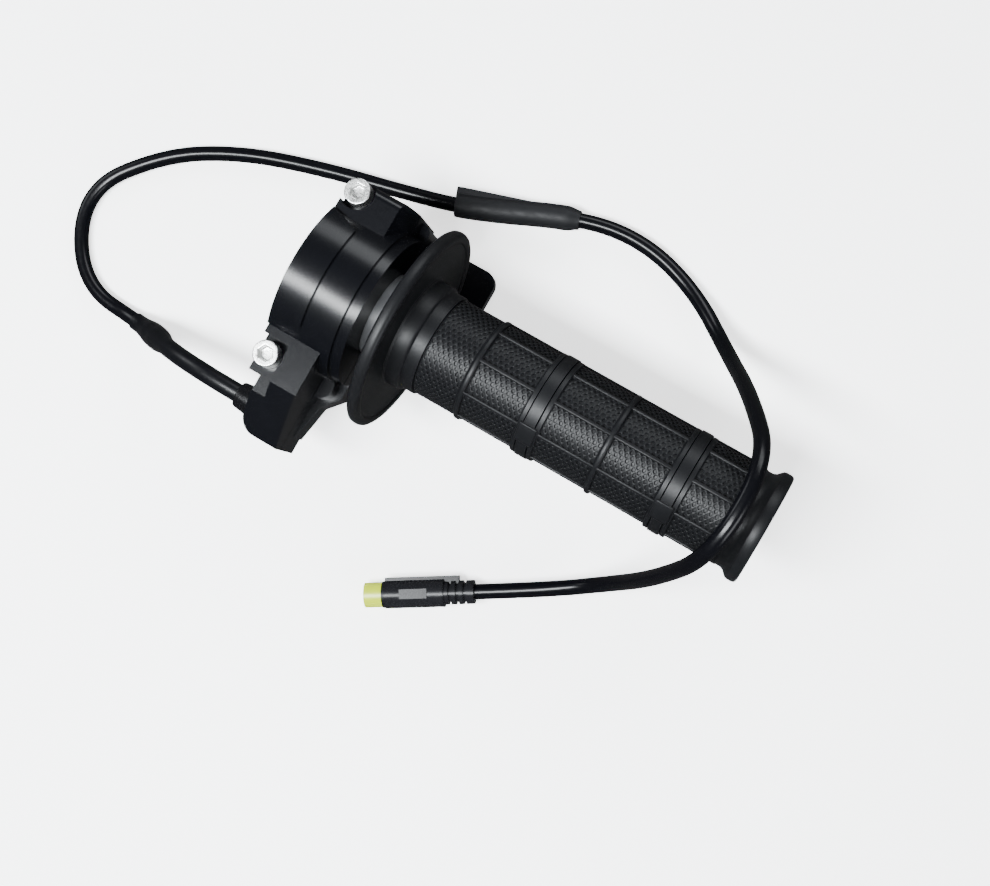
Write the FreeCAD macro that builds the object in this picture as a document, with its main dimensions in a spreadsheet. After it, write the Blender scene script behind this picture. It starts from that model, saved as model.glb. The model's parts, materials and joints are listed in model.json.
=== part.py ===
import FreeCAD, Part
import math
import os

import Sketcher

# Twist throttle for an electric bicycle: a clamp housing in two halves on the
# handlebar, a sprung throttle tube with its rubber grip, and the sensor lead.
# The bar axis is X, pointing at the outer end of the grip, with X = 0 at the
# housing's inboard face. The screw heads face +Z and the flat back faces -Z.

SIZES = [
    ("bar_diameter", 22.2, "handlebar that the housing clamps on"),
    ("clamp_gap", 0.05, "radial gap of the clamp bore on the bar"),
    ("tube_gap", 0.25, "radial gap of the throttle tube on the bar"),
    ("tube_wall", 1.6, "wall of the throttle tube"),
    ("running_gap", 0.4, "gap between moving and fixed faces"),
    ("pad_radius", 26.0, "raised band of the drum at the inboard end"),
    ("pad_length", 10.0, "length of the raised band"),
    ("pad_half", 47.5, "half angle of the raised band at the inboard face"),
    ("pad_slant", 24.0, "slant of the raised band's ends"),
    ("band_radius", 25.0, "lower band of the drum"),
    ("band_length", 10.4, "length of the lower band"),
    ("mouth_radius", 24.0, "stepped-down mouth of the drum"),
    ("mouth_length", 3.4, "length of the mouth"),
    ("land_length", 7.0, "clamping land of the bar bore"),
    ("mouth_wall", 3.2, "wall that keeps the tube's flange in the drum"),
    ("cavity_radius", 21.2, "drum cavity"),
    ("split_gap", 0.6, "open joint between the two halves"),
    ("ear_reach", 29.8, "upper ear, from the bar axis"),
    ("ear_root", 14.0, "where the upper ear starts inside the drum"),
    ("ear_height", 17.0, "front face of the upper ear"),
    ("ear_depth", 15.0, "rear face of the upper ear"),
    ("ear_length", 20.6, "upper ear along the bar"),
    ("ear_rounding", 3.0, "round outer corner of the upper ear"),
    ("facet_length", 3.6, "slanted outboard end of the upper ear, along the bar"),
    ("facet_height", 9.0, "slanted outboard end of the upper ear, down from its front"),
    ("block_root", 14.0, "where the lower block starts inside the drum"),
    ("block_shoulder", 32.0, "end of the lower block's flat front face"),
    ("block_height", 16.0, "front face of the lower block"),
    ("block_length", 17.5, "lower block along the bar"),
    ("boss_gap", 3.6, "from the cable gland to the boss under the lower screw"),
    ("lobe_start", 4.0, "inboard face of the cable lobe"),
    ("lobe_length", 13.0, "cable lobe along the bar"),
    ("lobe_rounding", 5.0, "round inboard corner of the cable lobe"),
    ("lobe_margin", 8.0, "tip of the cable lobe, past the gland"),
    ("lobe_height", 5.0, "front edge of the lobe's tip"),
    ("lobe_depth", 13.0, "rear face of the lobe"),
    ("web_thickness", 7.0, "rear web beside the lobe"),
    ("web_boss", 4.2, "round boss on the rear web"),
    ("tongue_gap", 1.2, "from the flange disc to the tongue behind it"),
    ("back_top", 29.0, "upper side of the rear box"),
    ("back_bottom", 14.0, "lower side of the rear box"),
    ("back_length", 23.8, "rear box along the bar"),
    ("back_rounding", 3.0, "round upright edges of the rear box"),
    ("tongue_length", 41.3, "tongue under the flange disc, from the inboard face"),
    ("tongue_thickness", 3.8, "tongue"),
    ("tongue_rounding", 4.5, "upper corner of the tongue"),
    ("chamber_wall", 3.4, "walls of the sensor chamber"),
    ("chamber_top", 24.5, "upper side of the sensor chamber, from the bar axis"),
    ("chamber_bottom", 10.6, "lower side of the sensor chamber"),
    ("chamber_rise", 12.0, "front end of the sensor chamber, behind the joint"),
    ("lobe_room", 10.0, "depth of the wire room in the lobe"),
    ("lobe_wall", 3.0, "wall of the wire room at the lobe's tip"),
    ("room_length", 14.0, "wire room, from the inboard face"),
    ("room_start", 8.5, "passage beside the lower screw"),
    ("upper_bolt", 26.1, "upper clamp screw, from the bar axis"),
    ("lower_bolt", 27.0, "lower clamp screw, from the bar axis"),
    ("bolt_place", 3.6, "clamp screws, from the inboard face"),
    ("screw_diameter", 5.0, "clamp screw"),
    ("screw_length", 22.0, "clamp screw under its head"),
    ("head_diameter", 7.8, "head of the clamp screw"),
    ("head_height", 5.0, "head of the clamp screw"),
    ("socket_flats", 4.0, "hexagon socket across flats"),
    ("socket_depth", 2.6, "hexagon socket"),
    ("seat_diameter", 10.6, "spotface of the clamp screw"),
    ("seat_depth", 4.4, "spotface below the front face"),
    ("notch_length", 8.6, "open notch at the lower spotface, from the inboard face"),
    ("flange_radius", 17.4, "magnet flange of the throttle tube"),
    ("flange_length", 4.0, "magnet flange along the bar"),
    ("lug_radius", 20.4, "stop lug on the flange"),
    ("lug_angle", 42.0, "stop lug"),
    ("travel_angle", 70.0, "throttle travel"),
    ("stop_slack", 1.0, "free angle left at each stop"),
    ("stop_angle", 9.0, "stop rib in the front half"),
    ("washer_thickness", 0.7, "thrust washer"),
    ("washer_radius", 16.6, "thrust washer"),
    ("magnet_angle", 52.0, "arc magnet"),
    ("magnet_inner", 14.0, "inner radius of the arc magnets"),
    ("magnet_outer", 16.8, "outer radius of the arc magnets"),
    ("magnet_depth", 2.6, "arc magnet along the bar"),
    ("spring_wire", 1.2, "return spring wire"),
    ("spring_turns", 4.0, "return spring"),
    ("spring_radius", 14.6, "return spring, middle of the wire"),
    ("spring_leg", 5.2, "leg of the return spring"),
    ("seal_gap", 0.3, "gap of the dust seal round the tube"),
    ("seal_width", 1.6, "felt dust seal"),
    ("seal_height", 1.5, "felt dust seal"),
    ("board_width", 13.0, "sensor board across the bar"),
    ("board_length", 10.0, "sensor board along the bar"),
    ("board_place", 7.6, "sensor board, from the inboard face"),
    ("board_thickness", 1.6, "sensor board"),
    ("sensor_width", 4.0, "hall sensor"),
    ("sensor_length", 3.2, "hall sensor"),
    ("sensor_height", 1.5, "hall sensor"),
    ("post_diameter", 3.6, "board posts in the chamber"),
    ("post_inset", 1.9, "board posts from the board's corners"),
    ("board_screw", 1.6, "board screws"),
    ("grip_length", 150.5, "outer end of the grip, from the inboard face"),
    ("disc_place", 30.8, "inboard face of the flange disc"),
    ("disc_radius", 32.0, "flange disc"),
    ("disc_thickness", 4.0, "flange disc"),
    ("disc_rounding", 1.8, "round rim of the flange disc"),
    ("disc_hollow", 0.7, "step inside the rim of the flange disc"),
    ("disc_rim", 3.0, "rim of the flange disc"),
    ("hub_radius", 17.0, "hub between disc and collar"),
    ("hub_end", 39.5, "end of the hub"),
    ("collar_radius", 15.9, "plain collar"),
    ("collar_end", 43.4, "end of the plain collar"),
    ("panel_radius", 15.4, "knurled panels of the grip"),
    ("ring_radius", 16.0, "narrow rings and band lips"),
    ("ring_width", 1.7, "narrow rings"),
    ("inner_ring", 0.1393, "inner narrow ring, as a share of the length from collar to neck"),
    ("inner_band", 0.3310, "inner wide band, as such a share"),
    ("outer_ring", 0.5772, "outer narrow ring, as such a share"),
    ("outer_band", 0.7720, "outer wide band, as such a share"),
    ("lip_width", 1.6, "lip at each side of a wide band"),
    ("strap_width", 3.2, "raised middle of a wide band"),
    ("strap_radius", 16.3, "raised middle of a wide band"),
    ("band_groove", 0.3, "grooves beside the raised middle"),
    ("buckle_length", 5.6, "flat block on each wide band, along the bar"),
    ("buckle_width", 6.4, "flat block across"),
    ("buckle_radius", 16.5, "flat block, from the bar axis"),
    ("buckle_turn", 125.0, "place of the flat blocks"),
    ("rib_count", 9, "long ribs round the grip"),
    ("rib_width", 1.2, "long ribs"),
    ("rib_radius", 15.9, "long ribs"),
    ("rib_turn", 4.0, "first rib above the +Y side"),
    ("end_reach", 8.0, "neck and end flange together"),
    ("neck_radius", 15.0, "neck in front of the end flange"),
    ("neck_length", 1.9, "neck"),
    ("end_radius", 17.2, "end flange"),
    ("end_thickness", 3.3, "end flange"),
    ("end_rounding", 1.3, "round rim of the end flange"),
    ("end_wall", 2.2, "closed outer end of the grip"),
    ("gland_reach", 42.0, "cable gland, from the bar axis"),
    ("gland_drop", 5.0, "cable gland behind the joint"),
    ("gland_radius", 5.1, "cable gland at the housing"),
    ("gland_tip", 4.0, "cable gland at its tip"),
    ("gland_length", 8.0, "cable gland outside the housing"),
    ("gland_stem", 3.8, "stem of the gland in the housing wall"),
    ("gland_flange", 4.6, "flange of the gland inside the wall"),
    ("gland_wall", 2.6, "housing wall at the gland"),
    ("lead_diameter", 4.8, "sensor lead"),
    ("sleeved_diameter", 5.9, "lead under shrink sleeve"),
    ("splice_diameter", 7.4, "swollen shrink sleeves over the splices"),
    ("inner_splice", 37.0, "start of the inner splice, along the lead"),
    ("inner_sleeve", 21.0, "inner splice"),
    ("outer_splice", 246.0, "start of the outer splice, along the lead"),
    ("outer_sleeve", 39.0, "outer splice"),
    ("wire_diameter", 1.1, "wires inside the housing"),
    ("plug_diameter", 8.7, "connector"),
    ("plug_barrel", 18.6, "barrel of the connector"),
    ("plug_relief", 9.4, "ribbed strain relief of the connector"),
    ("relief_diameter", 7.4, "ribbed strain relief of the connector"),
    ("relief_groove", 0.7, "grooves of the strain relief"),
    ("key_width", 2.4, "key rib on the barrel"),
    ("key_height", 0.9, "key rib on the barrel"),
    ("label_length", 8.6, "raised bare panel on the barrel"),
    ("label_width", 3.0, "raised bare panel on the barrel"),
    ("nose_diameter", 7.7, "coloured nose of the connector"),
    ("nose_length", 6.4, "coloured nose of the connector"),
    ("contact_diameter", 1.3, "contact sleeves"),
    ("contact_circle", 2.0, "contact sleeves, from the nose's axis"),
    ("contact_depth", 5.0, "contact sleeves"),
    ("collar_ring", 0.8, "seal ring behind the nose"),
]

# Where the lead runs: points of its straight runs, joined by round bends.
ROUTE = [
    (-4.0, -42.0, -5.0),
    (-27.0, -42.0, -5.0),
    (-51.0, -40.4, -34.0),
    (-79.6, -39.0, -34.6),
    (-95.0, -11.8, -34.6),
    (-76.2, 11.4, -34.6),
    (-53.6, 24.2, -34.6),
    (-26.0, 32.6, -34.6),
    (0.0, 38.2, -34.2),
    (22.0, 43.6, -33.3),
    (55.0, 58.2, -33.3),
    (76.0, 60.8, -34.4),
    (97.0, 54.6, -34.6),
    (115.5, 41.6, -26.0),
    (128.4, 31.0, 2.5),
    (141.8, 15.8, 26.0),
    (141.3, -14.2, 26.0),
    (130.4, -27.4, 0.0),
    (118.4, -36.4, -27.0),
    (103.6, -47.1, -32.6),
    (84.0, -59.4, -32.6),
]

doc = FreeCAD.newDocument("throttle")
sheet = doc.addObject("Spreadsheet::Sheet", "Sizes")
for row, (alias, value, note) in enumerate(SIZES, start=1):
    sheet.set("A%d" % row, alias)
    sheet.set("B%d" % row, str(value))
    sheet.set("C%d" % row, note)
    sheet.setAlias("B%d" % row, alias)
doc.recompute()

X_AXIS = FreeCAD.Vector(1, 0, 0)
Z_AXIS = FreeCAD.Vector(0, 0, 1)

# Turns and places that several pieces share, as sheet expressions.
UPRIGHT = "rotation(vector(0; 0; 1); 0)"
ALONG_BAR = "rotation(vector(1; 1; 1); 120)"
BAR_BORE = "(Sizes.bar_diameter / 2 + Sizes.clamp_gap)"
TUBE_BORE = "(Sizes.bar_diameter / 2 + Sizes.tube_gap)"
TUBE_OUTER = "(Sizes.bar_diameter / 2 + Sizes.tube_gap + Sizes.tube_wall)"
BAND_END = "(Sizes.pad_length + Sizes.band_length)"
MOUTH_END = "(Sizes.pad_length + Sizes.band_length + Sizes.mouth_length)"
CAVITY_END = "(%s - Sizes.mouth_wall)" % MOUTH_END
SEAL_PLACE = "(%s - Sizes.mouth_wall / 2 - Sizes.seal_width / 2)" % MOUTH_END
FLANGE_PLACE = "(Sizes.land_length + Sizes.washer_thickness + Sizes.running_gap)"
FLANGE_END = "(%s + Sizes.flange_length)" % FLANGE_PLACE
TUBE_END = "(Sizes.grip_length - Sizes.end_wall)"
SWEEP_HALF = "((Sizes.travel_angle + Sizes.lug_angle) / 2)"
BACK_DEPTH = "(Sizes.disc_radius + Sizes.tongue_gap + Sizes.tongue_thickness)"
LOBE_TIP = "(Sizes.gland_reach + Sizes.lobe_margin)"
BOSS_END = "(Sizes.gland_reach - Sizes.gland_radius - Sizes.boss_gap)"
ROOM_TOP = "(Sizes.gland_reach - Sizes.gland_flange - Sizes.running_gap)"
PANEL_END = "(Sizes.grip_length - Sizes.end_reach)"
DISC_END = "(Sizes.disc_place + Sizes.disc_thickness)"
BOARD_TOP = "(Sizes.flange_radius + Sizes.running_gap + Sizes.sensor_height)"
BOARD_REAR = "(%s + Sizes.board_thickness)" % BOARD_TOP
CHAMBER_FLOOR = "(" + BACK_DEPTH + " - Sizes.chamber_wall)"
PAST = "5"

# Share of a run that a bend takes, and the wires inside the housing.
ARC_SHARE = 0.45
WIRE_SPACING = 1.3
WIRE_TURN = 5.0
WIRE_ROUTE = [
    (11.2, -25.0, -5.2),
    (11.2, -18.9, -7.6),
    (11.2, -15.2, -13.0),
    (11.2, -10.4, -17.4),
]
SCREWS = [
    ("upper", "Sizes.upper_bolt", "Sizes.ear_height"),
    ("lower", "-Sizes.lower_bolt", "Sizes.block_height"),
]
BOARD_CORNERS = [
    ("Sizes.board_place + Sizes.post_inset", "-Sizes.board_width / 2 + Sizes.post_inset"),
    ("Sizes.board_place + Sizes.board_length - Sizes.post_inset",
     "Sizes.board_width / 2 - Sizes.post_inset"),
]
NODES = [
    "housing_front", "housing_rear", "clamp_screw_upper", "clamp_screw_lower", "cable_gland",
    "thrust_washer", "return_spring", "dust_seal", "sensor_board", "hall_sensor", "board_screws",
    "sensor_wires", "throttle_tube", "magnet_carrier", "magnet_pair", "flange_disc",
    "grip_sleeve", "lead_inner",
    "splice_sleeve_inner", "lead_middle", "splice_sleeve_outer", "lead_outer", "connector_body",
    "connector_insert", "connector_contacts", "connector_seal",
]


def size(alias):
    """A size from the sheet, as a plain number."""
    return float(sheet.get(alias))


def seat(obj, x="0", y="0", z="0", turn=UPRIGHT, frame=None):
    """Bind an object's place to the sheet, within a frame if one is given."""
    place = "placement(vector(%s; %s; %s); %s)" % (x, y, z, turn)
    obj.setExpression("Placement", "%s * %s" % (frame, place) if frame else place)
    return obj


def rod(name, radius, length, x="0", y="0", z="0", turn=None, angle=None, start="0", frame=None):
    """A round rod, or a sector of one from a start angle, along the bar unless it is turned."""
    obj = doc.addObject("Part::Cylinder", name)
    obj.setExpression("Radius", radius)
    obj.setExpression("Height", length)
    if angle:
        obj.setExpression("Angle", angle)
    turn = turn or "rotation(vector(1; 0; 0); %s) * %s" % (start, ALONG_BAR)
    return seat(obj, x, y, z, turn, frame)


def cone(name, first, second, length, x="0", y="0", z="0", frame=None):
    """A cone along the bar."""
    obj = doc.addObject("Part::Cone", name)
    obj.setExpression("Radius1", first)
    obj.setExpression("Radius2", second)
    obj.setExpression("Height", length)
    return seat(obj, x, y, z, ALONG_BAR, frame)


def block(name, length, width, height, x="0", y="0", z="0", frame=None):
    """A box from its lowest corner."""
    obj = doc.addObject("Part::Box", name)
    obj.setExpression("Length", length)
    obj.setExpression("Width", width)
    obj.setExpression("Height", height)
    return seat(obj, x, y, z, UPRIGHT, frame)


def fuse(name, pieces):
    """Several solids joined into one."""
    obj = doc.addObject("Part::MultiFuse", name)
    obj.Shapes = pieces
    obj.Refine = True
    return obj


def cut(name, base, tool):
    """One solid less another."""
    obj = doc.addObject("Part::Cut", name)
    obj.Base = base
    obj.Tool = tool
    obj.Refine = True
    return obj


def common(name, first, second):
    """What two solids share."""
    obj = doc.addObject("Part::MultiCommon", name)
    obj.Shapes = [first, second]
    obj.Refine = True
    return obj


def group(name, pieces):
    """Like pieces that stay separate solids in one node."""
    obj = doc.addObject("Part::Compound", name)
    obj.Links = pieces
    return obj


def origin_plane(body, role):
    """One of a body's own origin planes."""
    return next(f for f in body.Origin.OriginFeatures if f.Role == role)


def profile(body, name, role, points):
    """A closed outline of straight lines, each corner bound to the sheet."""
    sketch = body.newObject("Sketcher::SketchObject", name)
    sketch.AttachmentSupport = [(origin_plane(body, role), "")]
    sketch.MapMode = "FlatFace"
    spots = [FreeCAD.Vector(value(u), value(v), 0) for u, v in points]
    for first, second in zip(spots, spots[1:] + spots[:1]):
        sketch.addGeometry(Part.LineSegment(first, second))
    count = len(points)
    for i in range(count):
        sketch.addConstraint(Sketcher.Constraint("Coincident", i, 2, (i + 1) % count, 1))
    for i, (u, v) in enumerate(points):
        for way, text, at in (("DistanceX", u, spots[i].x), ("DistanceY", v, spots[i].y)):
            if text == "0":
                line = -2 if way == "DistanceX" else -1
                sketch.addConstraint(Sketcher.Constraint("PointOnObject", i, 1, line))
                continue
            index = sketch.addConstraint(Sketcher.Constraint(way, -1, 1, i, 1, at))
            sketch.setExpression("Constraints[%d]" % index, text)
    return sketch


def value(text):
    """The number that a sheet expression stands for."""
    names = {alias: size(alias) for alias, _, _ in SIZES}
    for alias in sorted(names, key=len, reverse=True):
        text = text.replace("Sizes." + alias, repr(names[alias]))
    return float(FreeCAD.Units.Quantity(text).Value)


def edges_where(shape, test):
    """Names of the edges that pass a test."""
    return ["Edge%d" % (i + 1) for i, edge in enumerate(shape.Edges) if test(edge)]


def add_pad(body, sketch, name, length, both=False):
    """A pad along the sketch's normal."""
    pad = body.newObject("PartDesign::Pad", name)
    pad.Profile = sketch
    pad.setExpression("Length", length)
    pad.Midplane = both
    doc.recompute()
    return pad


def round_edges(body, feature, name, radius, test):
    """A fillet on the edges that pass a test."""
    fillet = body.newObject("PartDesign::Fillet", name)
    fillet.Base = (feature, edges_where(feature.Shape, test))
    fillet.setExpression("Radius", radius)
    doc.recompute()
    return fillet


def parallel(edge, axis):
    """Whether a straight edge runs along an axis."""
    if len(edge.Vertexes) < 2 or edge.Curve.TypeId != "Part::GeomLine":
        return False
    return abs(edge.tangentAt(edge.FirstParameter).dot(axis)) > 0.9999


def origin_axis(body, role):
    """One of a body's own origin axes."""
    return next(f for f in body.Origin.OriginFeatures if f.Role == role)


def circle_of(edge, radius):
    """Whether an edge is a full circle of a radius."""
    return edge.Curve.TypeId == "Part::GeomCircle" and abs(edge.Curve.Radius - radius) < 0.001


def spun(name, points, turn=UPRIGHT):
    """A body of revolution about the bar axis, from its half section."""
    body = doc.addObject("PartDesign::Body", name)
    sketch = profile(body, name + "_section", "XY_Plane", points)
    turned = body.newObject("PartDesign::Revolution", name + "_turned")
    turned.Profile = sketch
    turned.ReferenceAxis = (sketch, ["H_Axis"])
    turned.Angle = 360
    seat(body, turn=turn)
    doc.recompute()
    return body, turned


def ring(name, inner, outer, width, place, frame=None):
    """A plain ring along the bar."""
    return cut(name, rod(name + "_disc", outer, width, place, frame=frame),
               rod(name + "_hole", inner, width, place, frame=frame))


def housing_blank():
    """The outside of the whole housing, before it is hollowed and split."""
    ends = []
    for name, side in (("upper", -1), ("lower", 1)):
        turn = "placement(vector(0; 0; 0); rotation(vector(1; 0; 0); %d * Sizes.pad_half))" % side
        slant = "placement(vector(0; 0; 0); rotation(vector(0; 0; 1); %d * Sizes.pad_slant))" % side
        ends.append(block(name + "_pad_end", "4 * Sizes.pad_length", "2 * Sizes.pad_radius",
                          "4 * Sizes.pad_radius", "-Sizes.pad_length",
                          "0" if side < 0 else "-2 * Sizes.pad_radius", "-3 * Sizes.pad_radius",
                          "%s * %s" % (turn, slant)))
    pad = cut("drum_pad", rod("pad_disc", "Sizes.pad_radius", "Sizes.pad_length"), fuse("pad_ends", ends))
    band = rod("drum_band", "Sizes.band_radius", BAND_END)
    mouth = rod("drum_mouth", "Sizes.mouth_radius", MOUTH_END)

    ear = doc.addObject("PartDesign::Body", "upper_ear")
    outline = profile(ear, "ear_outline", "XZ_Plane", [
        ("0", "-Sizes.ear_depth"),
        ("Sizes.ear_length", "-Sizes.ear_depth"),
        ("Sizes.ear_length", "Sizes.ear_height - Sizes.facet_height"),
        ("Sizes.ear_length - Sizes.facet_length", "Sizes.ear_height"),
        ("0", "Sizes.ear_height"),
    ])
    slab = add_pad(ear, outline, "ear_pad", "Sizes.ear_reach - Sizes.ear_root")
    front = size("ear_height") - 0.01
    round_edges(ear, slab, "ear_round", "Sizes.ear_rounding",
                lambda e: parallel(e, X_AXIS) and abs(e.CenterOfMass.y) < 0.01 < front < e.CenterOfMass.z)
    seat(ear, y="Sizes.ear_reach")

    boss = block("lower_boss", "Sizes.block_length", BOSS_END + " - Sizes.block_root",
                 "Sizes.block_height + Sizes.lobe_depth", y="-" + BOSS_END, z="-Sizes.lobe_depth")
    lobe = doc.addObject("PartDesign::Body", "cable_lobe")
    outline = profile(lobe, "lobe_outline", "YZ_Plane", [
        ("-Sizes.block_root", "Sizes.block_height"),
        ("-Sizes.block_shoulder", "Sizes.block_height"),
        ("-" + LOBE_TIP, "Sizes.lobe_height"),
        ("-" + LOBE_TIP, "-Sizes.lobe_depth"),
        ("-Sizes.block_root", "-Sizes.lobe_depth"),
    ])
    slab = add_pad(lobe, outline, "lobe_pad", "Sizes.lobe_length")
    tip = 0.01 - value(LOBE_TIP)
    round_edges(lobe, slab, "lobe_round", "Sizes.lobe_rounding",
                lambda e: parallel(e, Z_AXIS) and e.CenterOfMass.y < tip and e.CenterOfMass.x < 0.01)
    seat(lobe, "Sizes.lobe_start")

    web = doc.addObject("PartDesign::Body", "rear_web")
    outline = profile(web, "web_outline", "XY_Plane", [
        ("Sizes.lobe_start", "-Sizes.block_root"),
        ("Sizes.lobe_start", "-" + LOBE_TIP + " + Sizes.lobe_rounding"),
        ("Sizes.block_length", "-" + LOBE_TIP + " + Sizes.lobe_rounding"),
        ("Sizes.block_length + 0.5", "-Sizes.gland_reach"),
        ("Sizes.block_length + 2", "-" + BOSS_END),
        ("Sizes.back_length", "-" + BOSS_END + " + Sizes.lobe_rounding"),
        ("Sizes.back_length", "-Sizes.block_root"),
    ])
    add_pad(web, outline, "web_pad", "Sizes.web_thickness")
    seat(web, z="-Sizes.lobe_depth")
    knob = rod("web_knob", "Sizes.web_boss", "Sizes.lobe_depth", "Sizes.block_length",
               "-Sizes.lower_bolt", "-Sizes.lobe_depth", UPRIGHT)
    box = doc.addObject("PartDesign::Body", "rear_box")
    outline = profile(box, "box_outline", "XY_Plane", [
        ("0", "-Sizes.back_bottom"),
        ("Sizes.back_length", "-Sizes.back_bottom"),
        ("Sizes.back_length", "Sizes.back_top"),
        ("0", "Sizes.back_top"),
    ])
    slab = add_pad(box, outline, "box_pad", BACK_DEPTH)
    round_edges(box, slab, "box_round", "Sizes.back_rounding", lambda e: parallel(e, Z_AXIS))
    seat(box, z="-" + BACK_DEPTH)

    tongue = doc.addObject("PartDesign::Body", "tongue")
    outline = profile(tongue, "tongue_outline", "XY_Plane", [
        ("0", "-Sizes.back_bottom"),
        ("Sizes.tongue_length", "-Sizes.back_bottom"),
        ("Sizes.tongue_length", "Sizes.back_top"),
        ("0", "Sizes.back_top"),
    ])
    slab = add_pad(tongue, outline, "tongue_pad", "Sizes.tongue_thickness")
    end = size("tongue_length") - 0.01
    round_edges(tongue, slab, "tongue_round", "Sizes.tongue_rounding",
                lambda e: parallel(e, Z_AXIS) and e.CenterOfMass.x > end)
    seat(tongue, z="-" + BACK_DEPTH)
    return fuse("housing_blank", [pad, band, mouth, ear, boss, lobe, web, knob, box, tongue])


def housing_hollow():
    """Everything that is bored or cast out of both halves."""
    return fuse("housing_hollow", [
        rod("bar_bore", BAR_BORE, "%s + 2 * %s" % (MOUTH_END, PAST), x="-" + PAST),
        rod("drum_cavity", "Sizes.cavity_radius", CAVITY_END + " - Sizes.land_length",
            x="Sizes.land_length"),
        rod("mouth_bore", TUBE_OUTER + " + Sizes.running_gap", "Sizes.mouth_wall + " + PAST,
            x=CAVITY_END),
        rod("seal_groove", TUBE_OUTER + " + Sizes.running_gap + Sizes.seal_height",
            "Sizes.seal_width", x=SEAL_PLACE),
    ])


def screw_hole(name, radius, length, y, z):
    """A hole for a clamp screw."""
    return rod(name, radius, length, "Sizes.bolt_place", y, z, UPRIGHT)


def front_half(shell):
    """The half with the screw heads, with the two stop ribs inside."""
    space = block("front_space", "Sizes.tongue_length + " + PAST, "4 * " + LOBE_TIP,
                  "2 * " + BACK_DEPTH, "-" + PAST, "-2 * " + LOBE_TIP,
                  "Sizes.split_gap / 2")
    half = common("front_blank", shell, space)
    stops = fuse("stop_sectors", [
        rod("closed_stop", "Sizes.cavity_radius + Sizes.split_gap",
            FLANGE_END + " - Sizes.land_length", "Sizes.land_length", angle="Sizes.stop_angle",
            start="90 - %s - Sizes.stop_slack - Sizes.stop_angle" % SWEEP_HALF),
        rod("open_stop", "Sizes.cavity_radius + Sizes.split_gap",
            FLANGE_END + " - Sizes.land_length", "Sizes.land_length", angle="Sizes.stop_angle",
            start="90 + %s + Sizes.stop_slack" % SWEEP_HALF),
    ])
    ribs = cut("stop_ribs", stops, rod("stop_clearance", "Sizes.flange_radius + 2 * Sizes.running_gap",
                                       FLANGE_END + " + " + PAST))
    tools = []
    for side, y, top in SCREWS:
        tools.append(screw_hole(side + "_clearance_hole", "Sizes.screw_diameter / 2 + Sizes.split_gap / 2",
                                top, y, "0"))
        tools.append(screw_hole(side + "_spotface", "Sizes.seat_diameter / 2", "Sizes.head_height * 2",
                                y, top + " - Sizes.seat_depth"))
    tools.append(block("lower_notch", "Sizes.notch_length + " + PAST,
                       BOSS_END + " - Sizes.lower_bolt + Sizes.seat_diameter / 2 + " + PAST,
                       "2 * Sizes.head_height", "-" + PAST, "-" + BOSS_END + " - " + PAST,
                       "Sizes.block_height - Sizes.seat_depth"))
    return cut("housing_front", fuse("front_ribbed", [half, ribs]), fuse("front_tools", tools))


def rear_half(shell):
    """The half with the flat back, the sensor chamber and the wire room."""
    space = block("rear_space", "Sizes.tongue_length + 2 * " + PAST, "4 * " + LOBE_TIP,
                  "2 * " + BACK_DEPTH, "-" + PAST, "-2 * " + LOBE_TIP,
                  "-Sizes.split_gap / 2 - 2 * " + BACK_DEPTH)
    half = common("rear_blank", shell, space)
    chamber = block("sensor_chamber", CAVITY_END + " - Sizes.land_length",
                    "Sizes.chamber_top + Sizes.chamber_bottom",
                    CHAMBER_FLOOR + " - Sizes.chamber_rise", "Sizes.land_length",
                    "-Sizes.chamber_bottom", "-" + CHAMBER_FLOOR)
    room = block("wire_room", "Sizes.room_length - Sizes.lobe_start - Sizes.gland_wall",
                 LOBE_TIP + " - Sizes.lobe_wall - " + ROOM_TOP,
                 "Sizes.lobe_room", "Sizes.lobe_start + Sizes.gland_wall",
                 "-" + LOBE_TIP + " + Sizes.lobe_wall", "-Sizes.lobe_room")
    passage = block("wire_passage", "Sizes.room_length - Sizes.room_start",
                    LOBE_TIP + " - Sizes.lobe_wall - Sizes.cavity_radius + 2 * Sizes.lobe_wall",
                    "Sizes.lobe_room", "Sizes.room_start", "-" + LOBE_TIP + " + Sizes.lobe_wall",
                    "-Sizes.lobe_room")
    hole = rod("gland_hole", "Sizes.gland_stem", "Sizes.gland_wall + " + PAST,
               "Sizes.lobe_start - " + PAST, "-Sizes.gland_reach", "-Sizes.gland_drop")
    tools = [chamber, room, passage, hole]
    for side, y, top in SCREWS:
        depth = "Sizes.screw_length - %s + Sizes.seat_depth + 1" % top
        tools.append(screw_hole(side + "_thread_hole", "Sizes.screw_diameter / 2", depth, y,
                                "-(%s)" % depth))
    hollow = cut("rear_hollow", half, fuse("rear_tools", tools))
    posts = fuse("board_posts", [
        rod("board_post_%d" % (i + 1), "Sizes.post_diameter / 2", "%s - %s + 1" % (CHAMBER_FLOOR, BOARD_REAR),
            x, y, "-%s - 1" % CHAMBER_FLOOR, UPRIGHT) for i, (x, y) in enumerate(BOARD_CORNERS)])
    bores = fuse("post_bores", [
        rod("post_bore_%d" % (i + 1), "Sizes.board_screw / 2", "2 * Sizes.post_diameter",
            x, y, "-%s - 1.5 * Sizes.post_diameter" % BOARD_REAR, UPRIGHT)
        for i, (x, y) in enumerate(BOARD_CORNERS)])
    return cut("housing_rear", fuse("rear_posted", [hollow, posts]), bores)


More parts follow.
